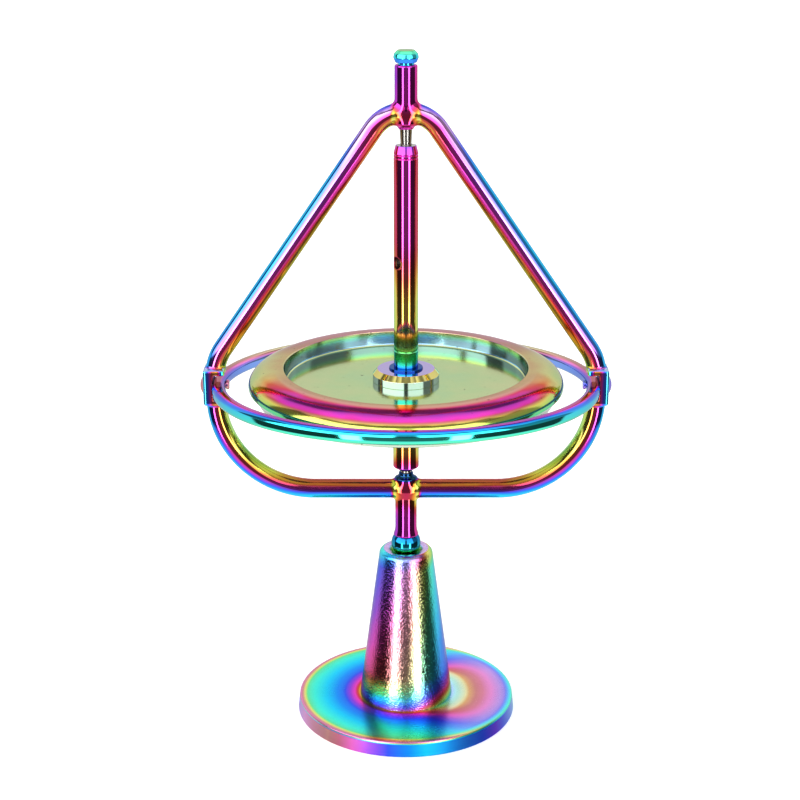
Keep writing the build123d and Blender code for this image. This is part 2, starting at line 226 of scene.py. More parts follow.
def profile(corners, arcStep=9.0, gap=0.6):
    # corners are (radius, height, round): an arc of that round is cut into each, and round 0 keeps the point;
    # long straight stretches get a point each gap. Returns points and outward normals, the outside on the right
    corners = np.array(corners, float)
    points = []
    for index, (radius, height, bend) in enumerate(corners):
        here = np.array((radius, height))
        if index in (0, len(corners) - 1) or bend == 0:
            points.append(here)
            continue
        into = here - corners[index - 1, :2]
        out = corners[index + 1, :2] - here
        into, out = into / np.hypot(*into), out / np.hypot(*out)
        cross = into[0] * out[1] - into[1] * out[0]
        turn = math.atan2(cross, into @ out)
        cut = bend * math.tan(abs(turn) / 2)
        centre = here - into * cut + np.sign(turn) * bend * np.array((-into[1], into[0]))
        steps = max(2, math.ceil(math.degrees(abs(turn)) / arcStep))
        angles = np.linspace(0, turn, steps + 1)
        spoke = here - into * cut - centre
        arc = np.stack((spoke[0] * np.cos(angles) - spoke[1] * np.sin(angles),
                        spoke[0] * np.sin(angles) + spoke[1] * np.cos(angles)), 1)
        points.extend(centre + arc)
    points = np.array(points)
    steps = np.diff(points, axis=0)
    lengths = np.hypot(*steps.T)
    chords = np.stack((steps[:, 1], -steps[:, 0]), 1) / lengths[:, None]   # right of the way along
    normals = np.vstack((chords[:1], chords[:-1] + chords[1:], chords[-1:]))
    flat = lengths > 3 * np.median(lengths)   # a long straight keeps its own normal
    for index in np.nonzero(flat)[0]:
        normals[index] = chords[index]
        normals[index + 1] = chords[index]
    normals /= np.hypot(*normals.T)[:, None]
    outPoints, outNormals = [points[:1]], [normals[:1]]
    for index, length in enumerate(lengths):
        parts = max(1, math.ceil(length / gap))
        share = np.arange(1, parts + 1)[:, None] / parts
        outPoints.append(points[index] + share * steps[index])
        outNormals.append(normals[index] + share * (normals[index + 1] - normals[index]))
    outPoints, outNormals = np.vstack(outPoints), np.vstack(outNormals)
    return outPoints, outNormals / np.hypot(*outNormals.T)[:, None]


def carried(pairs, circle):
    # (radius, height) pairs taken round a circle of directions: one row of points for each pair
    flat = pairs[:, None, :1] * circle[None]
    return np.concatenate((flat, np.broadcast_to(pairs[:, None, 1:], (*flat.shape[:2], 1))), 2)


def turnedPiece(name, corners, paint, finish, segments=192, axis="Z", centre=(0, 0, 0), tilt=0.0, closed=False,
                gap=0.6):
    # a profile (radius, height) carried round an axis: x = radius cos, y = radius sin
    line, normal = profile(corners, gap=gap)
    if closed:
        line, normal = line[:-1], normal[:-1]
    poles = [index for index in (0, len(line) - 1) if line[index, 0] < 1e-6 and not closed]
    rings = [index for index in range(len(line)) if index not in poles]
    angle = np.arange(segments) * 2 * math.pi / segments
    circle = np.stack((np.cos(angle), np.sin(angle)), 1)
    points = np.vstack((carried(line[rings], circle).reshape(-1, 3),
                        [(0, 0, line[index, 1]) for index in poles] or np.zeros((0, 3))))
    normals = np.vstack((carried(normal[rings], circle).reshape(-1, 3),
                         [(0, 0, np.sign(normal[index, 1])) for index in poles] or np.zeros((0, 3))))
    row = np.arange(len(rings) if closed else len(rings) - 1)[:, None] * segments
    column = np.arange(segments)[None]
    beside = (column + 1) % segments
    above = (row + segments) % (len(rings) * segments)
    faces = np.stack((row + column, row + beside, above + beside, above + column), -1).reshape(-1, 4).tolist()
    for rank, index in enumerate(poles):
        pole, ring = len(rings) * segments + rank, (0 if index == 0 else len(rings) - 1) * segments
        pair = np.stack((ring + column[0], ring + beside[0]), 1)
        fan = np.column_stack((np.full(segments, pole), pair[:, ::-1] if index == 0 else pair))
        faces.extend(fan.tolist())
    points, normals = placed(points, axis, tilt), placed(normals, axis, tilt)
    return buildMesh(name, points + np.array(centre), faces, normals, paint, finish)


def placed(points, axis, tilt):
    # turns Z to the wanted axis (X or -X), or tips it about X by tilt degrees
    x, y, z = points.T
    if axis == "X":
        return np.stack((z, y, -x), 1)
    if axis == "-X":
        return np.stack((-z, y, x), 1)
    lean = math.radians(tilt)
    return np.stack((x, y * math.cos(lean) - z * math.sin(lean), y * math.sin(lean) + z * math.cos(lean)), 1)


def dress(piece, body, slot, *replaced):
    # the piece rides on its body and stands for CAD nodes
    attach(piece, body)
    if replaced:
        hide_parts(*replaced)


def wave(values, *stops):
    # straight lines between (value, result) stops, for film, where 1 is a whole cycle, and for pale
    places, results = zip(*stops)
    return np.interp(values, places, results)


baseLook = dict(edge=0.18, lean=0.3, recess=0.35, screwHead=3.0, shank=1.5, headTop=1.65)
baseRadius, baseTop = reach("stand_base", 0), reach("stand_base", 2)


def paintBase(points, normals):
    # rings of colour outwards; those at the right lag behind the left ones and are paler, a painted highlight, as is
    # the pale band at the outer edge away from the right; the wall is satin, with painted reflection round it: pale at
    # the sides and back, darkened in front
    x, y, z = points.T
    out = np.hypot(x, y)
    turn = np.arctan2(x, -y)
    right = np.clip((np.sin(turn) - 0.2) / 0.75, 0, 1)
    right = right * right * (3 - 2 * right)
    rings = wave(out, (7.5, 0), (8.5, 0.25), (10.5, 0.5), (16, 0.8), (16.5, 0.85), (17.5, 1.2), (18, 1.3))
    film = rings - 0.45 * right
    pale = (right * wave(out, (7.5, 0.55), (9.5, 0.5), (10.5, 0.15), (16, 0.35), (17.5, 0.1))
            + wave(out, (16.7, 0.0), (17.2, 0.25), (17.8, 0.3)) * (1 - right))
    wall = np.clip((baseTop - 0.12 - z) / 0.3, 0, 1)
    rim = wave(np.degrees(turn), (-180, 0.3), (-95, 0.45), (-45, 0.1), (10, 0.65), (55, 0.4), (95, 0.7), (180, 0.3))
    # the wall's paleness and darkening round the turn are painted reflection
    rimPaintedReflection = wave(np.degrees(turn), (-180, 0.2), (-70, 0.5), (30, -0.4), (85, 0.5), (180, 0.2))
    return film * (1 - wall) + rim * wall, pale * (1 - wall) + rimPaintedReflection * wall, wall


edge = baseLook["edge"]
shank = baseLook["shank"]
standBase = turnedPiece("stand_base_disc", [
    (shank, baseTop - 0.5, 0), (shank, baseLook["headTop"], 0.02), (baseLook["screwHead"], baseLook["recess"], 0.02),
    (baseLook["screwHead"], 0, 0.05), (baseRadius, 0, edge), (baseRadius - baseLook["lean"], baseTop, edge),
    (shank, baseTop, 0.02), (shank, baseTop - 0.5, 0)],
    paintBase, "base", segments=256, gap=0.35, closed=True)
dress(standBase, "stand", "base_coat", "stand_base")

postLook = dict(topRadius=4.25, shoulder=0.95, cupRadius=3.0, cupDepth=1.52, bevel=0.22, chamfer=0.09,
                screwTip=11.35)
postRadius, postTop = reach("stand_post", 0), reach("stand_post", 2)


def paintPost(points, normals):
    # colour runs round the cone: violet and blue at the left, pink in front, then straw, green and azure at
    # the right, and it goes quickly through most of a cycle at the foot
    x, y, z = points.T
    turn = np.degrees(np.arctan2(x, -y))
    share = (z - baseTop) / (postTop - baseTop)
    around = wave(turn, (-180, 0.35), (-120, 0.5), (0, 0.2), (55, -0.3), (90, -0.45), (110, -0.4), (180, 0.35))
    rise = wave(share, (0, -0.85), (0.1, -0.35), (0.2, -0.15), (0.9, 0.1), (1, 0.35))
    film = around + rise
    inside = (z > postTop - 2) & (np.hypot(x, y) < postLook["topRadius"] - 0.6)
    film = np.where(inside, wave(z, (postTop - 0.9, 0.78), (postTop - 0.6, 0.88), (postTop - 0.2, 0.95),
                                 (postTop - 0.02, 0.34)), film)
    # outside the cup the front is whitened: a painted highlight
    pale = np.where(inside, wave(z, (postTop - 0.5, 0.1), (postTop - 0.02, 0.5)),
                    0.06 + 0.26 * np.clip((36 - np.abs(turn - 2)) / 16, 0, 1))
    return film, pale


cup = postLook["cupRadius"]
cupCentre = postTop - postLook["cupDepth"] + cup
mouth = math.sqrt(cup ** 2 - (cupCentre - postTop) ** 2)
cupArc = [(cup * math.sin(a), cupCentre - cup * math.cos(a), 0)
          for a in np.linspace(0, math.asin((mouth - postLook["chamfer"]) / cup), 14)[1:]]
standPost = turnedPiece("stand_post_cone", [
    (0, postLook["screwTip"], 0), (shank, postLook["screwTip"], 0.02), (shank, baseTop, 0.02),
    (postRadius, baseTop, 0.06), (postLook["topRadius"], postTop, postLook["shoulder"]),
    (mouth + postLook["bevel"], postTop, 0), *cupArc[::-1], (0, cupCentre - cup, 0)],
    paintPost, "orangePeel", segments=256, gap=0.35)
dress(standPost, "stand", "post_coat", "stand_post")

ballRadius = (reach("foot_ball", 0) - reach("foot_ball", 0, 0)) / 2
ballCentre = (reach("foot_ball", 2) + reach("foot_ball", 2, 0)) / 2


def paintBall(points, normals):
    # by how far the surface looks up: lime below, green, cyan and blue on top, darkened there as a painted dark
    # reflection
    up = normals[:, 2]
    return (wave(up, (-1, 1), (-0.6, 0.95), (-0.3, 0.85), (0.1, 0.65), (1, 0.5)),
            wave(up, (-0.3, 0.0), (0.0, -0.5)))


ballArc = [(ballRadius * math.sin(a), ballCentre - ballRadius * math.cos(a), 0)
           for a in np.linspace(0, math.pi, 41)]
ballArc[0], ballArc[-1] = (0, ballCentre - ballRadius, 0), (0, ballCentre + ballRadius, 0)
footBall = turnedPiece("foot_ball_mirror", ballArc, paintBall, "mirror", segments=96)
dress(footBall, "foot", "ball_coat", "foot_ball")
print("stand made")


hoopLook = dict(rod=1.55, arch=6.1, archHeight=99.6, halfWidth=30.1, cornerHeight=60.42, legBend=8.0,
                lowerBend=15.5, bar=38.85, stem=1.75, stemEdge=0.28, upperEnd=97.75, lowerEnd=40.85, boss=1.15,
                bossTip=0.68, flare=0.35, flareLength=1.5, crotch=0.75, block=(1.7, 2.3, 2.95), blockCentre=30.2,
                blockRound=0.45, blockJoin=0.5, channel=2.05, channelFloor=30.35, channelDeep=4.0,
                channelRound=0.3, cutRound=0.15, seatGap=0.04, voxel=0.18)
ringPlane = (reach("guard_ring", 2) + reach("guard_ring", 2, 0)) / 2
stemTop = reach("gyro_frame", 2)
stemBottom = reach("gyro_frame", 2, 0)


def smoothUnion(first, second, width):
    # (distance, gradient) pairs joined with a round of that width where they meet
    mix = np.clip(0.5 + 0.5 * (second[0] - first[0]) / width, 0, 1)
    distance = second[0] * (1 - mix) + first[0] * mix - width * mix * (1 - mix)
    return distance, second[1] * (1 - mix)[:, None] + first[1] * mix[:, None]


def unit(vectors):
    # each row divided by its length
    return vectors / np.maximum(np.linalg.norm(vectors, axis=1), 1e-9)[:, None]


def rodField(points):
    # distance to the hoop's rod: the nearest of its arcs and straight runs, on the right half, mirrored
    look = hoopLook
    side = np.where(points[:, 0] < 0, -1.0, 1.0)
    x, y, z = points[:, 0] * side, points[:, 1], points[:, 2]
    archCentre = look["archHeight"] - look["arch"]
    drop = archCentre - look["cornerHeight"]
    lean = math.atan2(look["halfWidth"], drop) - math.asin(look["arch"] / math.hypot(look["halfWidth"], drop))
    start = (look["arch"] * math.cos(lean), archCentre + look["arch"] * math.sin(lean))
    reachLeg = look["legBend"] * math.tan(lean / 2)
    end = (look["halfWidth"] - reachLeg * math.sin(lean), look["cornerHeight"] + reachLeg * math.cos(lean))
    bendCentre = (look["halfWidth"] - look["legBend"], look["cornerHeight"] - reachLeg)
    turnCentre = (look["halfWidth"] - look["lowerBend"], look["bar"] + look["lowerBend"])
    runs = [(start, end), ((look["halfWidth"], bendCentre[1]), (look["halfWidth"], turnCentre[1])),
            ((turnCentre[0], look["bar"]), (-1.0, look["bar"]))]
    arcs = [((0.0, archCentre), look["arch"], lean, math.pi / 2 + 0.3), (bendCentre, look["legBend"], 0.0, lean),
            (turnCentre, look["lowerBend"], -math.pi / 2, 0.0)]
    nearest = np.full(len(x), 1e9)
    foot = np.zeros((len(x), 2))
    for (ax, az), (bx, bz) in runs:
        share = np.clip(((x - ax) * (bx - ax) + (z - az) * (bz - az)) / ((bx - ax) ** 2 + (bz - az) ** 2), 0, 1)
        spot = np.stack((ax + share * (bx - ax), az + share * (bz - az)), 1)
        away = np.hypot(x - spot[:, 0], z - spot[:, 1])
        foot[away < nearest] = spot[away < nearest]
        nearest = np.minimum(nearest, away)
    for (cx, cz), radius, low, high in arcs:
        angle = np.clip(np.arctan2(z - cz, x - cx), low, high)
        spot = np.stack((cx + radius * np.cos(angle), cz + radius * np.sin(angle)), 1)
        away = np.hypot(x - spot[:, 0], z - spot[:, 1])
        foot[away < nearest] = spot[away < nearest]
        nearest = np.minimum(nearest, away)
    away = np.stack(((x - foot[:, 0]) * side, y, z - foot[:, 1]), 1)
    return np.linalg.norm(away, axis=1) - look["rod"], unit(away)


def stemField(points, radius, low, high, edge, flare=0.0):
    # distance to an upright bar with rounded ends, its foot widened by a flare
    out = np.hypot(points[:, 0], points[:, 1])
    spread = flare * np.clip(1 - (points[:, 2] - low) / hoopLook["flareLength"], 0, 1) ** 2
    radial = out - spread - radius + edge
    middle, half = (low + high) / 2, (high - low) / 2 - edge
    upright = np.abs(points[:, 2] - middle) - half
    outer = np.hypot(np.maximum(radial, 0), np.maximum(upright, 0))
    distance = outer + np.minimum(np.maximum(radial, upright), 0) - edge
    along = np.where((outer > 0), np.maximum(radial, 0) / np.maximum(outer, 1e-9), radial > upright)
    lift = np.where((outer > 0), np.maximum(upright, 0) / np.maximum(outer, 1e-9), radial <= upright)
    across = points[:, :2] / np.maximum(out, 1e-9)[:, None] * along[:, None]
    return distance, unit(np.column_stack((across, np.sign(points[:, 2] - middle) * lift)))


def boxField(points, centre, half, round):
    # distance to a box with rounded edges, mirrored to both sides of X = 0
    side = np.where(points[:, 0] < 0, -1.0, 1.0)
    local = points * np.column_stack((side, np.ones_like(side), np.ones_like(side))) - np.array(centre)
    beyond = np.abs(local) - np.array(half) + round
    outside = np.linalg.norm(np.maximum(beyond, 0), axis=1)
    deepest = np.minimum(beyond.max(1), 0)
    gradient = np.maximum(beyond, 0) / np.maximum(outside, 1e-9)[:, None]
    face = np.eye(3)[np.argmax(beyond, 1)]
    gradient = np.where((outside > 0)[:, None], gradient, face) * np.sign(local)
    gradient[:, 0] *= side
    return outside + deepest - round, gradient


def frameField(points):
    # rod, stems, bosses and blocks joined with rounds, less the blocks' channel and the ball's seat
    look = hoopLook
    upper = stemField(points, look["stem"], look["upperEnd"], stemTop, look["stemEdge"])
    lower = stemField(points, look["stem"], stemBottom, look["lowerEnd"], look["stemEdge"] * 0.6, look["flare"])
    field = smoothUnion(rodField(points), upper, look["crotch"])
    field = smoothUnion(field, lower, look["crotch"])
    for low, high in ((look["upperEnd"] - look["bossTip"], look["archHeight"]),
                      (look["bar"], look["lowerEnd"] + look["bossTip"] + 0.2)):
        field = smoothUnion(field, stemField(points, look["boss"], low, high, 0.12), look["crotch"])
    block = boxField(points, (look["blockCentre"], 0, ringPlane), look["block"], look["blockRound"])
    field = smoothUnion(field, block, look["blockJoin"])
    deep = look["channelDeep"]
    channel = boxField(points, (look["channelFloor"] - deep, 0, ringPlane), (deep, 9.0, look["channel"]),
                       look["channelRound"])
    cut = smoothUnion((-field[0], -field[1]), channel, look["cutRound"])
    seat = points - np.array((0, 0, ballCentre))
    away = np.linalg.norm(seat, axis=1)
    distance, gradient = smoothUnion(cut, (away - ballRadius - look["seatGap"], unit(seat)), 0.05)
    return -distance, -gradient


def paintHoop(points, normals):
    # colour runs round the rod from its inner to its outer side, by one row of stops for each height:
    # gold or magenta inside, violet, and blue to cyan outside; the flat bar is copper above and blue below
    x, y, z = points.T
    away = unit(np.column_stack((x, np.zeros_like(x), z - ringPlane - 8.0)))
    facing = normals[:, 0] * away[:, 0] + normals[:, 2] * away[:, 2]
    top = wave(facing, (-0.9, 0), (-0.3, 0.25), (0.3, 0.35), (0.7, 0.6), (1, 0.65))
    arch = wave(facing, (-0.9, 0), (-0.7, 0), (-0.2, 0.15), (0.8, 0.4), (1, 0.55))
    middle = wave(facing, (-0.9, 0), (-0.2, 0.15), (0.4, 0.35), (0.6, 0.55), (1, 0.65))
    low = wave(facing, (-1, -0.1), (-0.2, 0.1), (0.2, 0.25), (0.7, 0.6), (1, 0.7))
    flat = wave(facing, (-1, 0.15), (-0.6, 0.1), (-0.2, 0.3), (0.4, 0.65), (1, 0.7))
    # shares from 0 to 1: the row of the upper legs, of all legs, of the flat bar and of the arch
    upper = np.clip((z - 66) / 20, 0, 1)
    legs = np.clip((z - 50) / 16, 0, 1)
    bar = np.clip((27 - np.abs(x)) / 12, 0, 1) * np.clip((46 - z) / 5, 0, 1)
    crown = np.clip((z - 91) / 6, 0, 1)
    film = (low * (1 - legs) + middle * legs) * (1 - upper) + (top * (1 - crown) + arch * crown) * upper
    flat = flat - 0.14 * np.clip(1 - np.abs(x) / 12, 0, 1) * np.clip(facing + 0.2, 0, 1)   # violet near the stem
    film = film * (1 - bar) + flat * bar
    # the legs and arch are whitened in a band where they face partly outward: a painted highlight
    shine = np.exp(-((facing - 0.36 - 0.2 * crown) / 0.2) ** 2) * (1 + crown)
    pale = 0.02 + 0.24 * legs * shine + 0.15 * np.clip(-facing - 0.6, 0, 1) * (1 - legs)
    stem = np.clip((2.5 - np.abs(x)) / 0.6, 0, 1)
    bottom = hoopLook["bar"] - hoopLook["rod"]
    stemFilm = 0.28 + 0.07 * np.sign(-x) * normals[:, 0] ** 2
    near = np.where(z > 70, np.exp(-((z - hoopLook["archHeight"] + 0.6) / 1.5) ** 2),
                    np.exp(-((np.maximum(bottom - z, 0)) / 1.9) ** 2))
    stemFilm = stemFilm - near * (0.10 + 0.17 * np.clip(np.abs(x) / 1.7, 0, 1.2) ** 2)
    # the rise above the bar is darkened by a negative pale: a painted dark reflection
    mound = np.clip((z - hoopLook["bar"] - 1.5) / 0.4, 0, 1) * (z < 50)   # the rise above the bar, dimmed
    stemFilm = stemFilm * (1 - mound) + 0.56 * mound
    film = film * (1 - stem) + stemFilm * stem
    pale = pale * (1 - stem) - 0.85 * mound * stem
    block = (np.abs(x) > 28.4) & (np.abs(z - ringPlane) < 3.0)
    blockFilm = wave(np.abs(x), (28.5, 1), (29.6, 0.05), (30.4, 0.1), (31.4, 0.6), (31.9, 0.7))
    blockFilm = np.where(normals[:, 2] > 0.7, 0.60, blockFilm)
    film = np.where(block, blockFilm, film)
    pale = np.where(block & (normals[:, 2] > 0.7), 0.5, pale)
    return film, pale


def castFrame():
    # the node's own closed shape in small even faces, drawn onto the rounded field, with the field's normals
    work = bpy.data.objects.new("casting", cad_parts["gyro_frame"].data.copy())
    bpy.context.scene.collection.objects.link(work)
    mesh = bmesh.new()
    mesh.from_mesh(work.data)
    bmesh.ops.remove_doubles(mesh, verts=mesh.verts, dist=1e-7)
    bmesh.ops.scale(mesh, vec=(1 / mm,) * 3, verts=mesh.verts)
    mesh.to_mesh(work.data)
    mesh.free()
    voxels = work.modifiers.new("voxels", "REMESH")
    voxels.mode, voxels.voxel_size = "VOXEL", hoopLook["voxel"]
    result = bpy.data.meshes.new_from_object(work.evaluated_get(bpy.context.evaluated_depsgraph_get()))
    points = np.zeros(len(result.vertices) * 3)
    result.vertices.foreach_get("co", points)
    points = points.reshape(-1, 3)
    normals = np.zeros_like(points).ravel()
    result.vertices.foreach_get("normal", normals)
    normals = normals.reshape(-1, 3)
    faces = np.zeros(len(result.loops), dtype=int)   # every face of the voxel mesh is a quad
    result.loops.foreach_get("vertex_index", faces)
    faces = faces.reshape(-1, 4).tolist()
    bpy.data.objects.remove(work)
    near = np.abs(frameField(points)[0]) < 0.45
    for _ in range(6):
        distance, gradient = frameField(points)
        step = distance / np.maximum(np.sum(gradient ** 2, axis=1), 0.2)
        points = points - np.where(near, np.clip(step, -0.2, 0.2), 0)[:, None] * gradient
    normals = np.where(near[:, None], unit(frameField(points)[1]), normals)
    return points, faces, normals


points, faces, normals = castFrame()
gyroFrame = buildMesh("gyro_frame_casting", points, faces, normals, paintHoop, "hoop")
dress(gyroFrame, "frame", "hoop_coat", "gyro_frame")
print("frame cast:", len(faces), "faces")

ringLook = dict(outer=30.59, wide=2.2, high=2.05, round=0.85, tilt=-3.2)


def paintRing(points, normals):
    # violet line on top, then blue, cyan and aqua down the outside, mint below; steel blue inside
    up = normals[:, 2]
    outward = np.sum(normals[:, :2] * unit(points[:, :2]), axis=1)
    side = np.clip((np.abs(points[:, 0]) - 20) / 10, 0, 1)
    back = np.clip(points[:, 1] / 20, 0, 1)
    film = wave(up, (-1, 0.85), (0.2, 0.75), (0.8, 0.6), (0.9, 0.5), (1, 0.3)) - 0.14 * side * np.clip(up + 0.4, 0, 1)
    inner = wave(up, (-1, 0.60), (0, 0.54), (0.6, 0.50), (0.9, 0.38), (1, 0.30))
    film = np.where(outward < -0.1, inner, film)
    film = film * (1 - back) + wave(up, (-1, 0.60), (0.3, 0.56), (0.55, 0.30), (0.8, 0.10), (1, 0.0)) * back
    film = film - side * (1 - back) * 0.04 * np.clip(1 - np.abs(up), 0, 1)
    # at the back everything but the outer face is whitened, and the sides a little: painted reflection
    return film, 0.02 + 0.08 * side + 0.30 * back * (outward < 0.3)


half = ringLook["high"] / 2
inner = ringLook["outer"] - ringLook["wide"]
middle = ringLook["outer"] - ringLook["wide"] / 2
guardRing = turnedPiece("guard_ring_band", [
    (middle, -half, 0), (ringLook["outer"], -half, ringLook["round"]), (ringLook["outer"], half, ringLook["round"]),
    (inner, half, ringLook["round"]), (inner, -half, ringLook["round"]), (middle, -half, 0)],
    paintRing, "mirror", segments=384, closed=True, tilt=ringLook["tilt"], centre=(0, 0, ringPlane))
dress(guardRing, "frame", "ring_coat", "guard_ring")

rivetLook = dict(shank=0.55, head=1.65, rise=0.62, tail=0.78, tailRise=0.45, tailRound=0.18)
blockFace = hoopLook["blockCentre"] + hoopLook["block"][0]


def paintRivet(points, normals):
    # copper red on the left rivet, violet blue on the right one, a little further on where it looks up
    return np.where(points[:, 0] < 0, 0.15, 0.42) + 0.08 * normals[:, 2], np.where(points[:, 0] < 0, 0.25, 0.2)


for side, axis in (("right", "X"), ("left", "-X")):
    look = rivetLook
    sphere = (look["head"] ** 2 + look["rise"] ** 2) / (2 * look["rise"])
    top = blockFace + look["rise"]
    dome = [(sphere * math.sin(a), top - sphere + sphere * math.cos(a), 0)
            for a in np.linspace(math.asin(look["head"] / sphere), 0, 10)[1:-1]]
    tailEnd = inner - look["tailRise"]
    rivet = turnedPiece("ring_rivet_" + side, [
        (0, tailEnd, 0), (look["tail"], tailEnd, look["tailRound"]), (look["tail"], inner, 0.05),
        (look["shank"], inner, 0.02), (look["shank"], blockFace, 0.02), (look["head"], blockFace, 0.02),
        *dome, (0, top, 0)],
        paintRivet, "mirror", segments=64, axis=axis, centre=(0, 0, ringPlane))
    dress(rivet, "frame", "rivet_coat", *(["ring_rivets"] if side == "right" else []))
print("ring and rivets made")

knobLook = dict(shank=0.9, shankLength=4.0, neck=1.2, neckLength=0.28, foot=1.6, brim=1.93, brimHeight=0.9,
                top=1.3)
knobTop = reach("top_knob", 2)


def paintKnob(points, normals):
    # by how far the surface looks up: violet and blue below, cyan on the side, green on top
    up = normals[:, 2]
    return wave(up, (-1, 0.4), (-0.5, 0.5), (0.1, 0.7), (0.5, 0.75), (1, 0.9)), 0.04


look = knobLook
foot = stemTop + look["neckLength"]
brim = foot + look["brimHeight"]
topKnob = turnedPiece("top_knob_turned", [
    (0, stemTop - look["shankLength"], 0), (look["shank"], stemTop - look["shankLength"], 0.1),
    (look["shank"], stemTop - 0.1, 0.02), (look["neck"], stemTop - 0.1, 0.02), (look["neck"], foot, 0.02),
    (look["foot"], foot, 0.15), (look["brim"], brim - 0.15, 0.35), (look["brim"] - 0.12, brim + 0.45, 0.45),
    (look["top"], knobTop - 0.04, 0.5), (0, knobTop, 0)],
    paintKnob, "mirror", segments=128)
dress(topKnob, "frame", "knob_coat", "top_knob")

pinLook = dict(run=0.85, butt=1.0, buttLength=2.15, taper=2.6, runLength=2.6, tip=0.12, tipLength=0.75)
sleeveTop = reach("upper_sleeve", 2)
sleeveEnd = reach("lower_sleeve", 2, 0)


def paintSteel(points, normals):
    # bare metal has no film
    return 0.0, 0.0


for name, start, way in (("upper", sleeveTop, -1), ("lower", sleeveEnd, 1)):
    look = pinLook
    line = [(0, -look["taper"] - look["buttLength"], 0), (look["butt"], -look["taper"] - look["buttLength"], 0.05),
            (look["butt"], -look["taper"], 0.3), (look["run"], 0, 0.3), (look["run"], look["runLength"], 0.05),
            (look["tip"], look["runLength"] + look["tipLength"], 0.03),
            (0, look["runLength"] + look["tipLength"], 0)]
    line = [(radius, start + way * height, bend) for radius, height, bend in line]
    pin = turnedPiece("pivot_pin_" + name, line if way > 0 else line[::-1], paintSteel, "steel", segments=64)
    dress(pin, "frame", "steel", *(["pivot_pins"] if way < 0 else []))
print("knob and pins made")

wheelLook = dict(width=5.61, land=0.5, crown=2.72, waistRise=0.45, draft=0.25, lipDepth=0.35, lipStep=0.76,
                 undercut=0.75, flankStep=1.76, flank=2.75, footRound=0.5, web=1.55, hub=2.65, hubRise=2.25,
                 core=1.5, collar=5.25, collarHeight=1.95, slope=(0.75, 0.85))
rimRadius = reach("flywheel", 0)
look = wheelLook
bore = rimRadius - look["width"]
waist = ringPlane + look["waistRise"]
crest = waist + look["crown"]
webTop, webBottom = ringPlane + look["web"] / 2, ringPlane - look["web"] / 2
landEnd = bore + look["land"]
rimFoot = waist - look["flank"]
lipFoot = waist - look["lipDepth"]
crownArc = [(landEnd + (rimRadius - landEnd) * math.cos(a), waist + look["crown"] * math.sin(a), 0)
            for a in np.linspace(0, math.pi / 2, 37)]


def paintWheel(points, normals):
    # web pale lime; the crown in front is whitened copper at the crest, magenta, gold, straw and green down to
    # the lip; straw and lime at the sides, crimson at the back; the bore's wall azure, green above
    x, y, z = points.T
    out, up = np.hypot(x, y), normals[:, 2]
    turn = np.degrees(np.arctan2(np.abs(x), -y))
    tilt = np.degrees(np.arcsin(np.clip(up, -1, 1)))
    front = wave(tilt, (-90, -0.25), (0, -0.15), (40, 0), (45, 0.05), (55, 0.25), (70, 0.3), (90, 0.1))
    beside = wave(tilt, (-90, -0.3), (0, -0.2), (40, -0.05), (60, -0.05), (90, 0.05))
    behind = wave(tilt, (-90, 0.10), (0, 0.16), (50, 0.20), (75, 0.22), (90, 0.18))
    toSide = np.clip((turn - 52) / 30, 0, 1)
    toBack = np.clip((turn - 105) / 25, 0, 1)
    film = (front * (1 - toSide) + beside * toSide) * (1 - toBack) + behind * toBack
    # the pale band at tilt 48 in front and the paler sides and back are painted highlight; the darkened band at tilt
    # 71 in front is a painted dark reflection
    pale = 0.35 * np.clip((tilt - 80) / 5, 0, 1) + 0.25 * np.exp(-((tilt - 48) / 4) ** 2) * (1 - toSide)
    pale = np.maximum(pale, 0.35 * toSide * (1 - toBack) + 0.22 * toBack)
    pale = pale - 0.45 * np.exp(-((tilt - 71) / 7) ** 2) * (1 - toSide)
    inner = out < bore + 0.04
    wall = wave(z, (webTop, 0.58), (webTop + 0.7, 0.56), (crest - 1.1, 0.57), (crest - 0.6, 0.82), (crest - 0.25, 1.0),
                (crest, 1.12))
    web = wave(out, (2.6, 0.92), (8, 0.93), (14, 0.95), (19, 0.98))
    film = np.where(inner, np.where((up > 0.6) & (z < webTop + 0.5), web, wall), film)
    pale = np.where(inner, np.where(np.abs(up) > 0.6, 0.55, 0.5), pale)
    film = np.where(inner & (z < webTop - 0.1), 0.96, film)
    # the hub's ring is darkened: a painted dark reflection
    hub = inner & (out < look["hub"] + 0.02) & (z > webTop + 0.3)
    film, pale = np.where(hub, 0.52, film), np.where(hub, -0.6, pale)
    under = z < lipFoot + 0.02
    film = np.where(under & ~inner, wave(z, (rimFoot, 0.70), (lipFoot - 0.8, 0.58), (lipFoot, 0.90)), film)
    return film, np.where(under & ~inner, wave(z, (rimFoot, 1.0), (lipFoot - 0.8, 0.85), (lipFoot, 0.0)), pale)


flywheel = turnedPiece("flywheel_turned", [
    (look["core"], crest - 6, 0), (look["core"], webBottom - look["hubRise"], 0.05),
    (look["hub"], webBottom - look["hubRise"], 0.1), (look["hub"], webBottom, 0.1),
    (bore - look["draft"], webBottom, 0.3), (bore, rimFoot, 0.15),
    (rimRadius - look["flankStep"], rimFoot, look["footRound"]),
    (rimRadius - look["lipStep"], lipFoot - look["undercut"], 0.4), (rimRadius - 0.05, lipFoot, 0.1),
    *crownArc, (bore, crest, 0.15), (bore - look["draft"], webTop, 0.35),
    (look["hub"], webTop, 0.1), (look["hub"], webTop + look["hubRise"], 0.1),
    (look["core"], webTop + look["hubRise"], 0.05), (look["core"], crest - 6, 0)],
    paintWheel, "wheel", segments=320, closed=True, gap=0.4)
dress(flywheel, "rotor", "wheel_coat", "flywheel")


def paintCollar(points, normals):
    # lavender on the flat top, straw on the slope, pale blue wall
    up = np.abs(normals[:, 2])
    return (wave(up, (0, 0.6), (0.15, 0.65), (0.4, 1), (0.8, 1), (1, 1.4)),
            wave(up, (0, 0.7), (0.3, 0.5), (0.6, 0.1), (0.8, 0.1), (1, 0.6)))


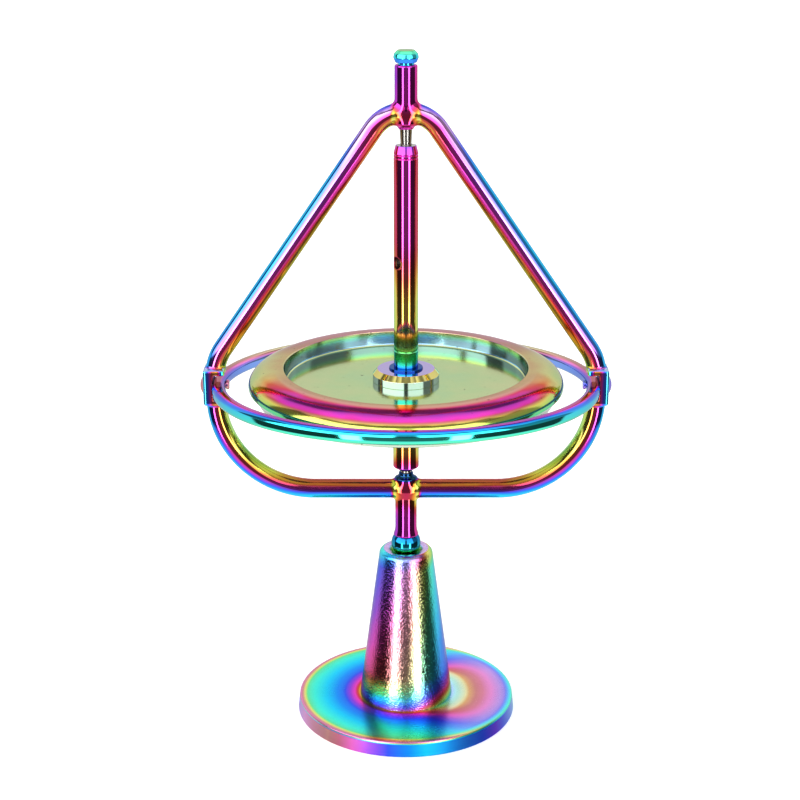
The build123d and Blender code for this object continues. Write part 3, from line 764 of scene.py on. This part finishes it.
slopeWide, slopeHigh = look["slope"]
for name, face, way in (("upper", webTop, 1), ("lower", webBottom, -1)):
    seam = (look["hub"], face + way * look["collarHeight"] / 2, 0)   # the outline closes halfway up the bore
    line = [seam, (look["hub"], face, 0.05), (look["collar"], face, 0.05),
            (look["collar"], face + way * (look["collarHeight"] - slopeHigh), 0.15),
            (look["collar"] - slopeWide, face + way * look["collarHeight"], 0.12),
            (look["hub"], face + way * look["collarHeight"], 0.05), seam]
    collar = turnedPiece("hub_collar_" + name, line if way > 0 else line[::-1], paintCollar, "mirror",
                         segments=192, closed=True)
    dress(collar, "rotor", "collar_coat", *(["hub_collars"] if way > 0 else []))
print("flywheel and collars made")

sleeveLook = dict(radius=1.9, core=1.5, topRadius=1.6, taper=1.2, groove=0.12, aboveHub=2.73, belowTop=(1.4, 1.9),
                  hole=0.95, holeHeight=76.45, holeTurn=54.0, zone=2.4, lowRadius=2.06, lowEnd=1.15,
                  lowTaper=0.6, lowWall=0.85)
hubTop, hubBottom = webTop + wheelLook["hubRise"], webBottom - wheelLook["hubRise"]


def paintSleeve(points, normals):
    # by height: azure and green at the foot, gold, magenta, violet at the top; left and right lag a little
    z = points[:, 2]
    film = wave(z, (hubTop, 0.6), (64, 1.05), (70, 1.05), (80, 1.25), (93, 1.25), (95, 1.4))
    sides = normals[:, 0] ** 2
    return film - 0.15 * sides ** 2, 0.03


def paintLowSleeve(points, normals):
    # by height: violet at the lower end, magenta, copper, gold and straw; left and right lag a little
    z = points[:, 2]
    film = wave(z, (sleeveEnd, 0.42), (sleeveEnd + 0.5, 0.34), (sleeveEnd + 1.2, 0.24), (sleeveEnd + 2.2, 0.14),
                (sleeveEnd + 3.4, 0.07), (sleeveEnd + 8, 0.02))
    return film - 0.12 * normals[:, 0] ** 2, 0.03


def crossDrilled(radius, low, high, inward, count):
    # a round wall with a hole drilled across it: each half is a grid from the hole's edge to its border
    look = sleeveLook
    across = np.linspace(-math.pi / 2, math.pi / 2, count + 1) * radius
    upright = np.linspace(low, high, 9)
    middle = look["holeHeight"]
    border = np.vstack((np.column_stack((across, np.full_like(across, high))),
                        np.column_stack((np.full(7, across[-1]), upright[::-1][1:-1])),
                        np.column_stack((across[::-1], np.full_like(across, low))),
                        np.column_stack((np.full(7, across[0]), upright[1:-1]))))
    angle = np.arctan2(border[:, 1] - middle, border[:, 0])
    offset = look["hole"] * np.cos(angle)
    edge = np.column_stack((radius * np.arcsin(offset / radius), middle + look["hole"] * np.sin(angle)))
    share = np.linspace(0, 1, 9)[:, None, None]
    grid = edge[None] * (1 - share) + border[None] * share
    halves = []
    for turn in (0, math.pi):
        place = grid[..., 0] / radius + turn
        # local frame: the drill runs along -Y
        normal = np.stack((np.sin(place), -np.cos(place), np.zeros_like(place)), -1)
        spot = normal * radius
        spot[..., 2] = grid[..., 1]
        halves.append((spot, normal * (-1 if inward else 1)))
    return halves, angle


def welded(points, faces, normals):
    # points at the same spot become one with the mean of their normals, and each quad faces along its normals
    _, first, index = np.unique(np.round(points * 2000 + 0.25).astype(int), axis=0, return_index=True,
                                return_inverse=True)
    index = index.reshape(-1)
    mean = np.zeros((len(first), 3))
    np.add.at(mean, index, normals)
    points, faces = points[first], index[faces]
    across = np.cross(points[faces[:, 2]] - points[faces[:, 0]], points[faces[:, 3]] - points[faces[:, 1]])
    inward = np.sum(across * mean[faces].sum(1), axis=1) < 0
    faces[inward] = faces[inward][:, ::-1]
    return points, faces.tolist(), unit(mean)


def drilledSleeve():
    # straight turned wall in three stretches; the middle one has the cross hole and its bored wall
    look = sleeveLook
    low, high = look["holeHeight"] - look["zone"], look["holeHeight"] + look["zone"]
    count = 48
    segments = 2 * count

    def grooveAt(height):
        return [(look["radius"], height - look["groove"]), (look["radius"] - look["groove"], height),
                (look["radius"], height + look["groove"])]

    upper = [(look["radius"], high)]
    for depth in look["belowTop"][::-1]:
        upper += grooveAt(sleeveTop - depth)
    upper += [(look["radius"], sleeveTop - look["taper"]), (look["topRadius"], sleeveTop), (look["core"], sleeveTop),
              (look["core"], high)]
    lower = [(look["core"], low), (look["core"], hubTop), (look["radius"], hubTop),
             *grooveAt(hubTop + look["aboveHub"]), (look["radius"], low)]
    points, normals, faces = [], [], []
    total = 0

    def addGrid(spot, normal, flip=False):
        nonlocal total
        rows, columns = spot.shape[:2]
        index = np.arange(rows * columns).reshape(rows, columns) + total
        beside = np.roll(index, -1, axis=1)
        quad = np.stack((index[:-1], beside[:-1], beside[1:], index[1:]), -1).reshape(-1, 4)
        faces.extend((quad[:, ::-1] if flip else quad).tolist())
        points.append(spot.reshape(-1, 3))
        normals.append(normal.reshape(-1, 3))
        total += rows * columns

    turn = np.arange(segments) * 2 * math.pi / segments - math.pi / 2
    circle = np.stack((np.sin(turn), -np.cos(turn)), 1)
    for line in (lower, upper):
        path, side = profile([(radius, height, 0.04 if 0 < index < len(line) - 1 else 0)
                              for index, (radius, height) in enumerate(line)], gap=0.6)
        if line is upper:
            side[0] = (1, 0)
        addGrid(carried(path, circle), carried(side, circle))
    rims = []
    for radius, inward in ((look["radius"], False), (look["core"], True)):
        halves, angle = crossDrilled(radius, low, high, inward, count)
        for spot, normal in halves:
            addGrid(spot, normal, flip=inward)
            rims.append(spot[0])
    share = np.linspace(0, 1, 4)[:, None, None]
    for outerRim, innerRim, way in ((rims[0], rims[2], 1), (rims[1], rims[3], -1)):
        spot = outerRim[None] * (1 - share) + innerRim[None] * share
        inwardWall = np.stack((-np.cos(angle) * way, 0 * angle, -np.sin(angle)), -1)
        addGrid(spot, np.broadcast_to(inwardWall[None], spot.shape))
    points, faces, normals = welded(np.vstack(points), np.array(faces), np.vstack(normals))
    spin = math.radians(-look["holeTurn"])
    turned = np.array(((math.cos(spin), -math.sin(spin), 0), (math.sin(spin), math.cos(spin), 0), (0, 0, 1)))
    return points @ turned.T, faces, normals @ turned.T


points, faces, normals = drilledSleeve()
upperSleeve = buildMesh("upper_sleeve_tube", points, faces, normals, paintSleeve, "mirror")
dress(upperSleeve, "rotor", "sleeve_coat", "upper_sleeve")
look = sleeveLook
pinBore = pinLook["run"] + 0.06
lowerSleeve = turnedPiece("lower_sleeve_tube", [
    (pinBore, sleeveEnd + 0.4, 0), (pinBore, sleeveEnd, 0.03), (look["lowEnd"], sleeveEnd, 0.05),
    (look["lowRadius"], sleeveEnd + look["lowTaper"], 0.2), (look["lowRadius"], hubBottom, 0.03),
    (look["core"], hubBottom, 0.03), (look["core"], sleeveEnd + look["lowWall"], 0.03),
    (pinBore, sleeveEnd + look["lowWall"], 0.03), (pinBore, sleeveEnd + 0.4, 0)],
    paintLowSleeve, "mirror", segments=128, closed=True)
dress(lowerSleeve, "rotor", "sleeve_coat", "lower_sleeve")
for name in ("axle_core", "stand_screw"):   # shown as the frame gives them
    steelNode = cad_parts[name]
    steelNode.data.materials.clear()
    steelNode.data.materials.append(coats["steel"])
print("sleeves made")


studio = dict(focal=81.5, sensor=36.0, pitch=18.605, place=(0.0, -0.27228, 0.14551), shift=-0.0075,
              floorSize=3.0, floorGrey=0.86, floorGlow=0.35)
camera = bpy.data.cameras.new("camera")
camera.lens, camera.sensor_width, camera.shift_x = studio["focal"], studio["sensor"], studio["shift"]
camera.clip_start = 0.01
cameraObject = bpy.data.objects.new("camera", camera)
cameraObject.location = studio["place"]
cameraObject.rotation_euler = (math.radians(90 - studio["pitch"]), 0, 0)
bpy.context.scene.collection.objects.link(cameraObject)
bpy.context.scene.camera = cameraObject

floorData = bpy.data.meshes.new("floor")
size = studio["floorSize"]
floorData.from_pydata([(-size, -size, 0), (size, -size, 0), (size, size, 0), (-size, size, 0)], [], [(0, 1, 2, 3)])
floor = bpy.data.objects.new("floor", floorData)
bpy.context.scene.collection.objects.link(floor)
floor.visible_glossy = False   # the room's own patches below the horizon are what the metal shows
floorMaterial = bpy.data.materials.new("floorPaper")
floorMaterial.use_nodes = True
tree = floorMaterial.node_tree
tree.nodes.clear()
grey = studio["floorGrey"]
paper = node(tree, "ShaderNodeBsdfDiffuse", None, {"Color": (grey, grey, grey, 1)})
seen = node(tree, "ShaderNodeLightPath")
glow = node(tree, "ShaderNodeEmission", None, {"Color": (1, 1, 1, 1), "Strength": seen * studio["floorGlow"]})
both = node(tree, "ShaderNodeAddShader", None, {0: paper, 1: glow})
node(tree, "ShaderNodeOutputMaterial", None, {"Surface": both})
floorData.materials.append(floorMaterial)

# The room by direction from the object: turn is degrees from the front, plus to the right, rise above level.
# A dark patch is (turn, rise, light left, soft edge), a bright one (turn, rise, light added, soft edge). They
# stand where their reflections in the metal give the dark and bright streaks
room = {
    "dark": [((-25, 25), (-24, 1), 0.2, 3), ((-6, 6), (0, 32), 0.12, 3), ((-24, 24), (52, 64), 0.2, 5),
             ((24, 52), (48, 59), 0.25, 6), ((-52, -24), (48, 59), 0.25, 6), ((52, 84), (42, 52), 0.3, 6),
             ((-84, -52), (42, 52), 0.3, 6), ((-96, -38), (-30, 2), 0.05, 4), ((38, 100), (-30, 2), 0.06, 4),
             ((-111, -90), (8, 44), 0.15, 5), ((64, 108), (4, 40), 0.35, 6), ((150, 190), (40, 52), 0.25, 5),
             ((-190, -150), (40, 52), 0.25, 5)],
    "bright": [((-36, -27), (-28, 6), 8.0, 2.5), ((27, 36), (-28, 6), 8.0, 2.5), ((-86, -9), (8, 44), 2.2, 4),
               ((9, 60), (8, 44), 1.6, 4), ((140, 190), (23, 33), 0.35, 4), ((-190, -140), (23, 33), 0.35, 4),
               ((-190, 190), (-100, -45), 0.35, 8)],
    "overhead": (60, 0.4),   # from this rise up, light added
}


def makeWorld():
    # light 1, times what each dark patch leaves, plus each bright patch; a camera ray sees plain white
    world = bpy.data.worlds.new("studio")
    bpy.context.scene.world = world
    world.use_nodes = True
    tree = world.node_tree
    tree.nodes.clear()
    way = node(tree, "ShaderNodeTexCoord", output=0)
    split = tree.nodes.new("ShaderNodeSeparateXYZ")
    tree.links.new(way.socket, split.inputs[0])
    x, y, z = (Signal(tree, split.outputs[index]) for index in range(3))
    turn = x.math("ARCTAN2", y * -1.0) * (180 / math.pi)
    rise = z.math("ARCSINE") * (180 / math.pi)
    level = windowed(rise, room["overhead"][0], 95.0, 8.0) * room["overhead"][1] + 1.0
    for sideways, upward, light, soft in room["dark"]:
        level = level * (1.0 - windowed(turn, *sideways, soft) * windowed(rise, *upward, soft) * (1.0 - light))
    for sideways, upward, light, soft in room["bright"]:
        level = level + windowed(turn, *sideways, soft) * windowed(rise, *upward, soft) * light
    seen = node(tree, "ShaderNodeLightPath")
    level = level * (1.0 - seen) + seen
    shine = node(tree, "ShaderNodeBackground", None, {"Color": (1, 1, 1, 1), "Strength": level})
    node(tree, "ShaderNodeOutputWorld", None, {"Surface": shine})


makeWorld()
bpy.context.scene.view_settings.view_transform = "Standard"
print("studio made")
